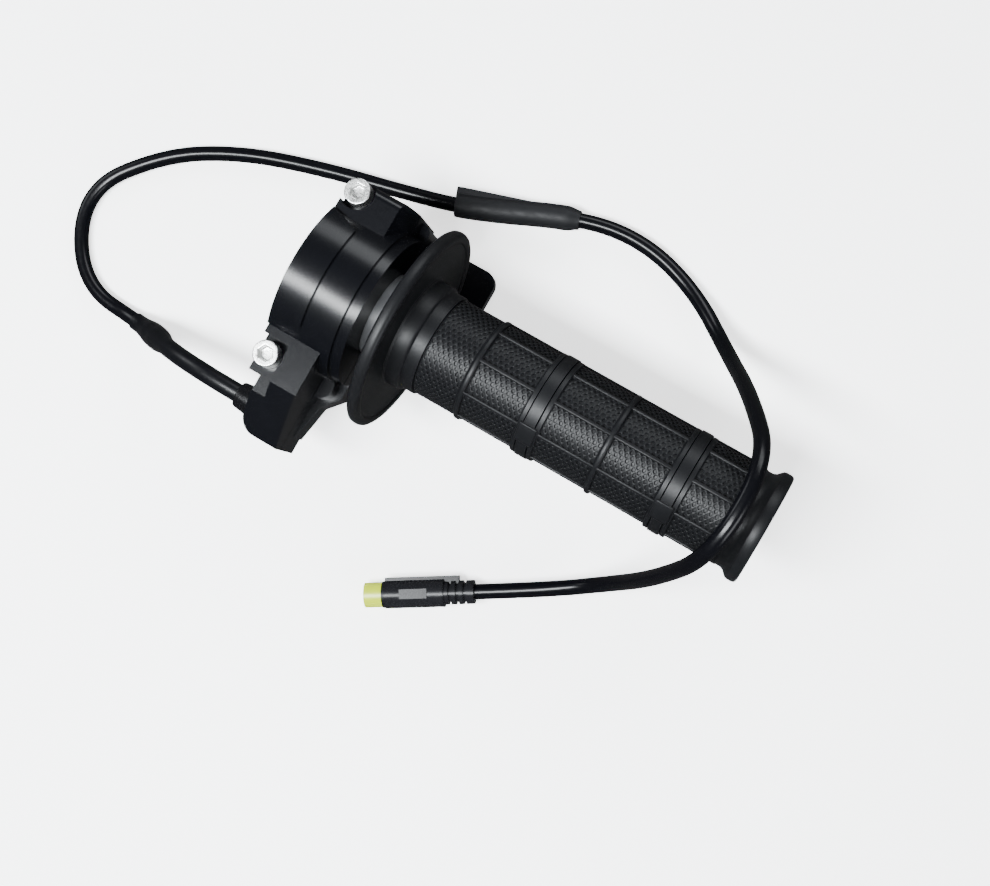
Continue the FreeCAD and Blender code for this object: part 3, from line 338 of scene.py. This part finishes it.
def grained(name, colour, rough, grain, depth, metallic=0.0, spread=0.12, shade=0.15, coat=0.0,
            coat_rough=0.2, stretch=(1, 1, 1), specular=0.5):
    """A finish with fine grain: noise moves its colour, roughness and bump. Grain is in mm."""
    mat, tree, shader = base_material(name, colour, rough, metallic)
    shader.inputs["Specular IOR Level"].default_value = specular
    shader.inputs["Coat Weight"].default_value = coat
    shader.inputs["Coat Roughness"].default_value = coat_rough
    place = tree.nodes.new("ShaderNodeTexCoord")
    scale = tree.nodes.new("ShaderNodeMapping")
    scale.inputs["Scale"].default_value = stretch
    tree.links.new(place.outputs["Object"], scale.inputs["Vector"])
    fine = tree.nodes.new("ShaderNodeTexNoise")
    fine.inputs["Scale"].default_value = 1000.0 / grain
    fine.inputs["Detail"].default_value = 4
    broad = tree.nodes.new("ShaderNodeTexNoise")
    broad.inputs["Scale"].default_value = 1000.0 / (grain * 14)
    broad.inputs["Detail"].default_value = 3
    for noise in (fine, broad):
        tree.links.new(scale.outputs["Vector"], noise.inputs["Vector"])
    blend = tree.nodes.new("ShaderNodeMix")
    blend.data_type = "RGBA"
    blend.inputs["A"].default_value = (*[c * (1 - shade) for c in colour], 1)
    blend.inputs["B"].default_value = (*[min(c * (1 + shade), 1) for c in colour], 1)
    tree.links.new(broad.outputs["Fac"], blend.inputs["Factor"])
    tree.links.new(blend.outputs["Result"], shader.inputs["Base Color"])
    span = tree.nodes.new("ShaderNodeMapRange")
    span.inputs["From Min"].default_value = 0.3
    span.inputs["From Max"].default_value = 0.7
    span.inputs["To Min"].default_value = max(rough - spread, 0.02)
    span.inputs["To Max"].default_value = min(rough + spread, 1.0)
    tree.links.new(fine.outputs["Fac"], span.inputs["Value"])
    tree.links.new(span.outputs["Result"], shader.inputs["Roughness"])
    bump = tree.nodes.new("ShaderNodeBump")
    bump.inputs["Strength"].default_value = 1.0
    bump.inputs["Distance"].default_value = depth * MM
    tree.links.new(fine.outputs["Fac"], bump.inputs["Height"])
    tree.links.new(bump.outputs["Normal"], shader.inputs["Normal"])
    return mat


FINISHES = {}


def finishes(colours):
    """All the finishes, made once."""
    if FINISHES:
        return FINISHES
    FINISHES.update({
        "cast": grained("satin_cast_black", colours.cast, 0.24, 0.35, 0.003, spread=0.03,
                        specular=0.20),
        "screw": grained("bright_zinc", colours.steel, 0.30, 0.5, 0.002, metallic=1.0, spread=0.08),
        "gland": grained("gloss_moulding", (0.002, 0.002, 0.0025), 0.26, 0.8, 0.004, spread=0.05,
                         specular=0.25),
        "gland_sleeve": grained("gloss_sleeve", colours.jacket, 0.34, 1.0, 0.01, spread=0.05,
                                specular=0.2),
        "rubber": grained("grip_rubber", colours.rubber, 0.40, 0.25, 0.008, spread=0.05,
                          specular=0.14),
        # Dimple floors: the rubber's colour with no reflection and nearly matte, so the pits read dark:
        # painted shade inside the dimples.
        "pit": grained("dimple_floor_painted_shade", colours.rubber, 0.9, 0.25, 0.008, spread=0.05, specular=0.0),
        "jacket": grained("lead_jacket", colours.jacket, 0.24, 1.2, 0.003, spread=0.03,
                          specular=0.16),
        "sleeve": grained("shrink_sleeve", colours.sleeve, 0.55, 1.0, 0.03, spread=0.08,
                          stretch=(0.4, 1, 1), specular=0.15),
        "plug": grained("plug_moulding", (0.006, 0.006, 0.007), 0.26, 0.4, 0.005, spread=0.04,
                        specular=0.12),
        "nose": grained("nose_moulding", colours.nose, 0.35, 0.4, 0.006, spread=0.05, shade=0.05),
        "contact": grained("plated_contact", (0.83, 0.64, 0.30), 0.25, 0.3, 0.003, metallic=1.0),
        "washer": grained("natural_washer", (0.80, 0.78, 0.72), 0.45, 0.4, 0.01),
        "spring": grained("spring_wire", (0.50, 0.50, 0.52), 0.28, 0.3, 0.004, metallic=1.0,
                          stretch=(1, 1, 0.2)),
        "felt": grained("seal_felt", (0.05, 0.05, 0.05), 0.9, 0.15, 0.08, shade=0.3),
        "board": grained("board_lacquer", (0.01, 0.12, 0.04), 0.3, 0.6, 0.01, coat=0.5),
        "chip": grained("chip_moulding", (0.02, 0.02, 0.02), 0.5, 0.2, 0.01),
        "wire": grained("wire_insulation", (0.42, 0.03, 0.02), 0.4, 0.6, 0.01),
        "tube": grained("tube_moulding", (0.035, 0.036, 0.038), 0.45, 0.4, 0.01),
        "magnet": grained("magnet_plating", (0.55, 0.55, 0.55), 0.25, 0.4, 0.004, metallic=1.0),
    })
    return FINISHES


# Stage.

# The camera's lens in mm, its place in metres, its right and its backward direction.
CAMERA_LENS = 55.85
CAMERA_PLACE = (0.1425, -0.0165, 0.4381)
CAMERA_RIGHT = (0.8555, 0.4990, -0.1386)
CAMERA_BACK = (0.1599, 0.0, 0.9871)

SKY_STRENGTH = 0.14
LIGHT_COLOUR = (0.94, 0.975, 1.0)

class THROTTLE_OT_stage(bpy.types.Operator):
    """The floor, the studio lights and the camera at the photograph's angle"""
    bl_idname = "throttle.stage"
    bl_label = "Stage"

    def execute(self, context):
        form = context.scene.throttle_stage
        data = bpy.data.cameras.new("studio_camera")
        data.sensor_width = 36
        data.lens = CAMERA_LENS
        camera = bpy.data.objects.new("studio_camera", data)
        context.scene.collection.objects.link(camera)
        right = Vector(CAMERA_RIGHT).normalized()
        back = Vector(CAMERA_BACK).normalized()
        up = back.cross(right).normalized()
        turn = Matrix((right, up, back)).transposed()
        camera.matrix_world = Matrix.Translation(CAMERA_PLACE) @ turn.to_4x4()
        data.clip_start, data.clip_end = 0.01, 100
        context.scene.camera = camera

        deselect()
        bpy.ops.mesh.primitive_plane_add(size=form.floor_size, location=(0, 0, CAD_BOX[0][2]))
        floor = put_at_origin(context.object)
        floor.name = "studio_floor"
        pale, _, shader = base_material("studio_paper", (0.93, 0.93, 0.93), 0.9)
        shader.inputs["Emission Color"].default_value = (1, 1, 1, 1)
        shader.inputs["Emission Strength"].default_value = form.floor_glow
        floor.data.materials.append(pale)
        floor.visible_glossy = False

        world = context.scene.world or bpy.data.worlds.new("studio_world")
        context.scene.world = world
        world.use_nodes = True
        sky = world.node_tree.nodes["Background"]
        sky.inputs["Color"].default_value = (1, 1, 1, 1)
        sky.inputs["Strength"].default_value = SKY_STRENGTH

        def light(name, place, tilt, turn, width, height, power):
            """A soft box that shines down, tilted towards +Y and then turned round the upright."""
            lamp = bpy.data.lights.new(name, "AREA")
            lamp.shape, lamp.size, lamp.size_y = "RECTANGLE", width, height
            lamp.energy = power
            lamp.color = LIGHT_COLOUR
            obj = bpy.data.objects.new(name, lamp)
            context.scene.collection.objects.link(obj)
            obj.location = place
            obj.rotation_euler = (math.radians(tilt), 0, math.radians(turn))

        light("key_light", (-0.06, -0.22, 0.60), 20, 0, 0.50, 0.14, form.key_power)
        light("left_light", (-0.60, 0.05, 0.30), 62, -90, 0.30, 0.20, form.fill_power)
        light("back_light", (0.05, 0.90, 0.55), 60, 180, 0.90, 0.40, form.back_power)
        light("right_light", (1.00, -0.30, 0.45), 65, 73, 0.60, 0.40, form.back_power)
        return {"FINISHED"}


# The lead.

def route_curve(name, points, diameter=0.0):
    """A smooth open NURBS line along a route's points, round and closed where it has a diameter."""
    data = bpy.data.curves.new(name, "CURVE")
    data.dimensions = "3D"
    data.resolution_u = 16
    if diameter:
        data.bevel_depth = 1.0
        data.bevel_resolution = 8
        data.use_fill_caps = True
    spline = data.splines.new("NURBS")
    spline.points.add(len(points) - 1)
    for point, place in zip(spline.points, points):
        point.co = (*place, 1)
        point.radius = diameter / 2
    spline.order_u = 3
    spline.use_endpoint_u = True
    obj = bpy.data.objects.new(name, data)
    bpy.context.scene.collection.objects.link(obj)
    return obj


def line_of(points):
    """The points of a route's smooth line, with their distances along it."""
    guide = route_curve("guide_line", points)
    bpy.context.view_layer.update()
    mesh = bpy.data.meshes.new_from_object(guide.evaluated_get(bpy.context.evaluated_depsgraph_get()))
    spots = [vertex.co.copy() for vertex in mesh.vertices]
    bpy.data.objects.remove(guide)
    bpy.data.meshes.remove(mesh)
    along = [0.0]
    for before, after in zip(spots, spots[1:]):
        along.append(along[-1] + (after - before).length)
    return spots, along


def at(spots, along, distance):
    """The point of a line at a distance along it."""
    for i in range(1, len(along)):
        if along[i] >= distance:
            share = (distance - along[i - 1]) / (along[i] - along[i - 1])
            return spots[i - 1].lerp(spots[i], share)
    return spots[-1].copy()


def swelling(distance, start, end, small, large, slope):
    """A radius that swells smoothly from small to large between two distances."""
    rise = min(max((distance - start) / slope, 0), 1)
    fall = min(max((end - distance) / slope, 0), 1)
    share = min(rise, fall)
    return small + (large - small) * share * share * (3 - 2 * share)


def swollen(start, end, rise, fall, small, large, slope, count=60):
    """Distances and radii, in mm, of a sleeve that swells between rise and fall."""
    shape = []
    for i in range(count + 1):
        distance = start + (end - start) * i / count
        shape.append((distance, swelling(distance, rise, fall, small, large, slope)))
    return shape


def sleeve_on(name, shape):
    """A round sleeve on the lead's line: shape lists (distance, radius) in mm. Its ends are closed."""
    spots, along = line_of(LEAD_ROUTE)
    data = bpy.data.curves.new(name, "CURVE")
    data.dimensions = "3D"
    data.bevel_depth = 1.0
    data.bevel_resolution = 10
    data.use_fill_caps = True
    spline = data.splines.new("POLY")
    spline.points.add(len(shape) - 1)
    for point, (distance, radius) in zip(spline.points, shape):
        point.co = (*at(spots, along, distance * MM), 1)
        point.radius = radius * MM
    obj = bpy.data.objects.new(name, data)
    bpy.context.scene.collection.objects.link(obj)
    choose(obj)
    bpy.ops.object.convert(target="MESH")
    obj = bpy.context.object
    obj.name = name
    edit(obj)
    bpy.ops.mesh.select_all(action="SELECT")
    bpy.ops.mesh.remove_doubles(threshold=1e-7)
    bpy.ops.mesh.normals_make_consistent(inside=False)
    leave()
    return smooth(obj, 50)


class THROTTLE_OT_lead(bpy.types.Operator):
    """The sensor lead from the gland to the plug, with its two shrink sleeves"""
    bl_idname = "throttle.lead"
    bl_label = "Sensor lead"

    def shadow_strip(self):
        """A flat strip standing off the lead at the sleeve's near end: painted shadow made solid,
        filling the band of shadow there.
        """
        spots, along = line_of(LEAD_ROUTE)
        first = at(spots, along, (SPLICE_START - SHADOW_STRIP_PAST) * MM)
        last = at(spots, along, (SPLICE_START + SHADOW_STRIP_SIZE[0] / MM) * MM)
        ahead = (last - first).normalized()
        up = Vector((0, 0, 1))
        side = up.cross(ahead).normalized()
        deselect()
        bpy.ops.mesh.primitive_cube_add(size=1, location=(0, 0, 0))
        flat = bpy.context.object
        flat.scale = SHADOW_STRIP_SIZE
        put_at_origin(flat)
        for vertex in flat.data.vertices:
            if vertex.co.x > 0 and vertex.co.y > 0:
                vertex.co.y = SHADOW_STRIP_TAPER
        modifier(flat, "BEVEL", width=SHADOW_STRIP_ROUNDING, segments=3)
        flat.matrix_world = Matrix((ahead, side, up)).transposed().to_4x4()
        flat.location = first + ahead * (SHADOW_STRIP_SIZE[0] / 2) + side * SHADOW_STRIP_OFFSET + up * SHADOW_STRIP_LIFT
        return smooth(put_at_origin(flat), 40)

    def execute(self, context):
        form = context.scene.throttle_lead
        looks = finishes(context.scene.throttle_colours)
        lead = route_curve("sensor_lead", LEAD_ROUTE, form.diameter)
        finish(lead, "housing", looks["jacket"])
        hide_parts("lead_inner", "lead_middle", "lead_outer")

        small = form.sleeve_diameter / 2 / MM
        large = form.splice_diameter / 2 / MM
        inner = sleeve_on("gland_sleeve", swollen(*GLAND_SLEEVE, small, large, GLAND_SLOPE))
        finish(inner, "housing", looks["gland_sleeve"])
        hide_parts("splice_sleeve_inner")

        shape = swollen(SPLICE_START, SPLICE_END, SPLICE_START - SPLICE_RISE,
                        SPLICE_END + SPLICE_FALL, small, large, SPLICE_SLOPE)
        outer = sleeve_on("splice_sleeve", shape)
        # The splice sleeve is joined with the flat strip of painted shadow at its near end.
        outer = join("splice_sleeve", [outer, self.shadow_strip()])
        finish(outer, "housing", looks["sleeve"])
        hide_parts("splice_sleeve_outer")

        return {"FINISHED"}


# The grip.

PANELS = [(43.4, 57.3), (58.8, 76.4), (82.8, 100.8), (102.2, 120.1), (126.6, 142.6)]
RIB_SPANS = [(58.0, 77.0), (82.0, 101.5), (101.5, 121.0), (126.0, 142.6)]
RIB_START = 4.0

# The panels' inner radius in mm, a radius in metres that only their outside lies beyond, and how
# far along the bar the normal of a face on that outside may lean.
PANEL_INNER = 13.6
WALL_INSIDE = 0.0145
WALL_LEAN = 0.3

# Insets, in metres, that leave the mesh between pits, go down a pit's wall and narrow its floor.
PIT_SPACING = 0.00020
PIT_WALL = 0.00006
PIT_TAPER = 0.00022

# Profiles, as (x, radius) in mm. The band's x is counted from its inboard edge.
BAND_PROFILE = [
    (0.0, 14.9), (0.0, 15.75), (0.25, 16.0), (1.40, 16.0), (1.52, 15.85), (1.60, 15.4),
    (1.68, 15.85), (1.80, 16.25), (5.20, 16.25), (5.32, 15.85), (5.40, 15.4), (5.48, 15.85),
    (5.60, 16.0), (6.75, 16.0), (7.0, 15.75), (7.0, 14.9),
]
DISC_PROFILE = [
    (30.8, 12.95), (30.8, 28.0), (30.8, 30.2), (31.1, 31.2), (31.7, 31.8), (32.6, 32.0),
    (33.4, 31.95), (34.2, 31.6), (34.65, 31.0), (34.8, 30.3), (34.75, 29.5), (34.5, 29.1),
    (34.15, 28.9), (34.1, 28.4), (34.1, 18.6), (34.3, 17.6), (34.9, 17.1), (38.6, 16.9),
    (39.2, 16.6), (39.5, 16.1), (39.6, 15.9), (43.0, 15.9), (43.3, 15.8), (43.4, 15.5),
    (43.4, 14.9),
]
END_PROFILE = [
    (142.5, 14.9), (142.5, 15.35), (142.7, 15.35), (143.2, 15.1), (144.6, 15.1), (145.6, 15.5),
    (146.5, 16.4), (147.1, 17.0), (147.9, 17.2), (149.3, 17.2), (150.0, 17.0), (150.4, 16.5),
    (150.5, 15.8), (150.5, 8.0), (150.5, 0.001), (148.3, 0.001), (148.3, 12.95), (30.8, 12.95),
]

# The narrow rings' and wide bands' places and the ring's width, in mm.
RING_PLACES = (57.2, 100.6)
BAND_PLACES = (76.2, 119.9)
RING_WIDTH = 1.7

# A rib's middle radius, height and rounding in metres.
RIB_MIDDLE = 0.0151
RIB_HEIGHT = 0.0016
RIB_ROUNDING = 0.00035

# The small block on each wide band: places along the bar in mm, turn in degrees, then its size,
# middle radius and rounding in metres.
BUCKLE_PLACES = (79.7, 123.4)
BUCKLE_TURN = 129 - 90
BUCKLE_SIZE = (0.0056, 0.0064, 0.0022)
BUCKLE_MIDDLE = 0.0154
BUCKLE_ROUNDING = 0.0003


def band_stations(place):
    """Stations of a wide band: lip, groove, raised middle, groove, lip."""
    return [(place + x, radius) for x, radius in BAND_PROFILE]


def ring_stations(place, width):
    """Stations of a narrow round ring."""
    return [(place, 14.9), (place, 15.6), (place + 0.25, 15.9), (place + 0.5, 16.0),
            (place + width - 0.5, 16.0), (place + width - 0.25, 15.9), (place + width, 15.6),
            (place + width, 14.9)]


class THROTTLE_OT_grip(bpy.types.Operator):
    """The moulded rubber: flange disc, collar, rings, bands, ribs and end flange"""
    bl_idname = "throttle.grip"
    bl_label = "Grip"

    def execute(self, context):
        form = context.scene.throttle_grip
        looks = finishes(context.scene.throttle_colours)
        stations = list(DISC_PROFILE)
        for ring, band in zip(RING_PLACES, BAND_PLACES):
            stations += ring_stations(ring, RING_WIDTH) + band_stations(band)
        stations += END_PROFILE
        body = turned("grip_moulding", stations, 96)
        smooth(body, 30)

        ribs = []
        for start, end in RIB_SPANS:
            deselect()
            middle = ((start + end) / 2 * MM, 0, RIB_MIDDLE)
            bpy.ops.mesh.primitive_cube_add(size=1, location=middle)
            rib = context.object
            rib.scale = ((end - start) * MM, form.rib_width, RIB_HEIGHT)
            put_at_origin(rib)
            modifier(rib, "BEVEL", width=RIB_ROUNDING, segments=2)
            smooth(rib, 50)
            for i in range(form.rib_count):
                copy = rib.copy()
                copy.data = rib.data.copy()
                context.scene.collection.objects.link(copy)
                copy.rotation_euler = (math.radians(RIB_START - 90 + 360 / form.rib_count * i), 0, 0)
                ribs.append(put_at_origin(copy))
            bpy.data.objects.remove(rib)
        for place in BUCKLE_PLACES:
            deselect()
            bpy.ops.mesh.primitive_cube_add(size=1, location=(place * MM, 0, BUCKLE_MIDDLE))
            buckle = context.object
            buckle.scale = BUCKLE_SIZE
            put_at_origin(buckle)
            modifier(buckle, "BEVEL", width=BUCKLE_ROUNDING, segments=2)
            smooth(buckle, 50)
            buckle.rotation_euler = (math.radians(BUCKLE_TURN), 0, 0)
            ribs.append(put_at_origin(buckle))
        grip = join("grip_rubber_body", [body] + ribs)
        finish(grip, "throttle", looks["rubber"])
        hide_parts("grip_sleeve", "flange_disc")
        return {"FINISHED"}


def on_wall(face):
    """Whether a face lies on a panel's round outside."""
    return abs(face.normal.x) < WALL_LEAN and face.center.yz.length > WALL_INSIDE


def pick_faces(obj, test):
    """Open an object's mesh for editing, with the faces that pass a test selected."""
    edit(obj)
    leave()
    for face in obj.data.polygons:
        face.select = test(face)
    bpy.ops.object.mode_set(mode="EDIT")


class THROTTLE_OT_panels(bpy.types.Operator):
    """The dimpled panels between the rings, as one skin of staggered pits"""
    bl_idname = "throttle.panels"
    bl_label = "Dimpled panels"

    def execute(self, context):
        form = context.scene.throttle_grip
        looks = finishes(context.scene.throttle_colours)
        radius = form.panel_radius / MM
        for number, (start, end) in enumerate(PANELS):
            rows = max(2, round((end - start) * MM / form.dimple_pitch))
            stations = [(start, PANEL_INNER)]
            stations += [(start + (end - start) * i / rows, radius) for i in range(rows + 1)]
            stations += [(end, PANEL_INNER), (start, PANEL_INNER)]
            panel = turned("grip_panel_%d" % (number + 1), stations, form.dimple_count)
            finish(panel, "throttle", looks["rubber"])
            mesh = panel.data
            # The second slot holds the painted shade of the dimple floors.
            mesh.materials.append(looks["pit"])
            wall = {p.index for p in mesh.polygons if on_wall(p)}
            shared = {}
            for i in wall:
                for key in mesh.polygons[i].edge_keys:
                    shared[tuple(sorted(key))] = shared.get(tuple(sorted(key)), 0) + 1
            pick_faces(panel, lambda p: p.index in wall)
            bpy.ops.mesh.poke()
            bpy.ops.mesh.select_mode(type="EDGE")
            bpy.ops.mesh.select_all(action="DESELECT")
            leave()
            for e in mesh.edges:
                e.select = shared.get(tuple(sorted(e.vertices)), 0) == 2
            bpy.ops.object.mode_set(mode="EDIT")
            bpy.ops.mesh.dissolve_edges(use_verts=False)
            pick_faces(panel, lambda p: len(p.vertices) == 4 and on_wall(p))
            for thickness, depth in ((PIT_SPACING, 0), (PIT_WALL, -form.dimple_depth),
                                     (PIT_TAPER, -form.dimple_depth)):
                bpy.ops.mesh.inset(thickness=thickness, depth=depth, use_individual=True)
            bpy.ops.mesh.select_more()
            leave()
            # The pits' faces take the second slot, with its painted shade.
            for p in mesh.polygons:
                p.material_index = int(p.select)
            modifier(panel, "SUBSURF", levels=1, render_levels=1)
            smooth(panel, 60)
            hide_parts("grip_sleeve")
        return {"FINISHED"}


# The housing.

# Widths of the softened edges in mm.
CAST_EDGE = 0.45
SCREW_EDGE = 0.4
GLAND_EDGE = 0.5


class THROTTLE_OT_housing(bpy.types.Operator):
    """The two cast halves with softened edges, and the clamp screws"""
    bl_idname = "throttle.housing"
    bl_label = "Housing and screws"

    def execute(self, context):
        looks = finishes(context.scene.throttle_colours)
        for source, name in (("housing_front", "front_casting"),
                             ("housing_rear", "rear_casting")):
            piece = bevelled_copy(source, name, CAST_EDGE)
            finish(piece, "housing", looks["cast"])
            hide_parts(source)
        for side in ("upper", "lower"):
            piece = bevelled_copy("clamp_screw_" + side, side + "_screw", SCREW_EDGE)
            finish(piece, "housing", looks["screw"])
            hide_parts("clamp_screw_" + side)
        return {"FINISHED"}


class THROTTLE_OT_gland(bpy.types.Operator):
    """The moulded bell where the lead leaves the housing"""
    bl_idname = "throttle.gland"
    bl_label = "Gland"

    def execute(self, context):
        looks = finishes(context.scene.throttle_colours)
        piece = bevelled_copy("cable_gland", "gland_bell", GLAND_EDGE, 3)
        finish(piece, "housing", looks["gland"])
        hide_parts("cable_gland")
        return {"FINISHED"}


class THROTTLE_OT_plug(bpy.types.Operator):
    """The plug's moulded body, nose, contacts and seal ring"""
    bl_idname = "throttle.plug"
    bl_label = "Plug"

    def execute(self, context):
        looks = finishes(context.scene.throttle_colours)
        for name, slot in (("connector_body", "plug"), ("connector_insert", "nose"),
                           ("connector_contacts", "contact"), ("connector_seal", "rubber")):
            node(name).data.materials.clear()
            node(name).data.materials.append(looks[slot])
        return {"FINISHED"}


class THROTTLE_OT_inside(bpy.types.Operator):
    """Finishes of the pieces inside the housing and under the grip"""
    bl_idname = "throttle.inside"
    bl_label = "Inner pieces"

    def execute(self, context):
        looks = finishes(context.scene.throttle_colours)
        for name, slot in (("thrust_washer", "washer"), ("return_spring", "spring"),
                           ("dust_seal", "felt"), ("sensor_board", "board"),
                           ("hall_sensor", "chip"), ("board_screws", "screw"),
                           ("sensor_wires", "wire"), ("throttle_tube", "tube"),
                           ("magnet_carrier", "tube"), ("magnet_pair", "magnet")):
            node(name).data.materials.clear()
            node(name).data.materials.append(looks[slot])
        return {"FINISHED"}


class THROTTLE_PT_panel(bpy.types.Panel):
    """The throttle's settings and the steps that build it"""
    bl_idname = "THROTTLE_PT_panel"
    bl_label = "Twist throttle"
    bl_space_type = "VIEW_3D"
    bl_region_type = "UI"
    bl_category = "Throttle"

    def draw(self, context):
        for title, group in (("Colours", context.scene.throttle_colours),
                             ("Grip", context.scene.throttle_grip),
                             ("Lead", context.scene.throttle_lead),
                             ("Stage", context.scene.throttle_stage)):
            box = self.layout.box()
            box.label(text=title)
            for key in group.__annotations__:
                box.prop(group, key)
        for step in STEPS:
            self.layout.operator(step.bl_idname)


GROUPS = {"throttle_colours": ThrottleColours, "throttle_grip": GripForm,
          "throttle_lead": LeadForm, "throttle_stage": StageForm}
STEPS = [THROTTLE_OT_stage, THROTTLE_OT_lead, THROTTLE_OT_gland, THROTTLE_OT_plug,
         THROTTLE_OT_grip, THROTTLE_OT_panels, THROTTLE_OT_housing, THROTTLE_OT_inside]


def register():
    for cls in [*GROUPS.values(), *STEPS, THROTTLE_PT_panel]:
        bpy.utils.register_class(cls)
    for key, group in GROUPS.items():
        setattr(bpy.types.Scene, key, PointerProperty(type=group))


def unregister():
    for key in GROUPS:
        delattr(bpy.types.Scene, key)
    for cls in reversed([*GROUPS.values(), *STEPS, THROTTLE_PT_panel]):
        bpy.utils.unregister_class(cls)


def main():
    register()
    for step in STEPS:
        group, name = step.bl_idname.split(".")
        getattr(getattr(bpy.ops, group), name)()
    deselect()
    bpy.context.view_layer.update()


if __name__ == "__main__":
    main()
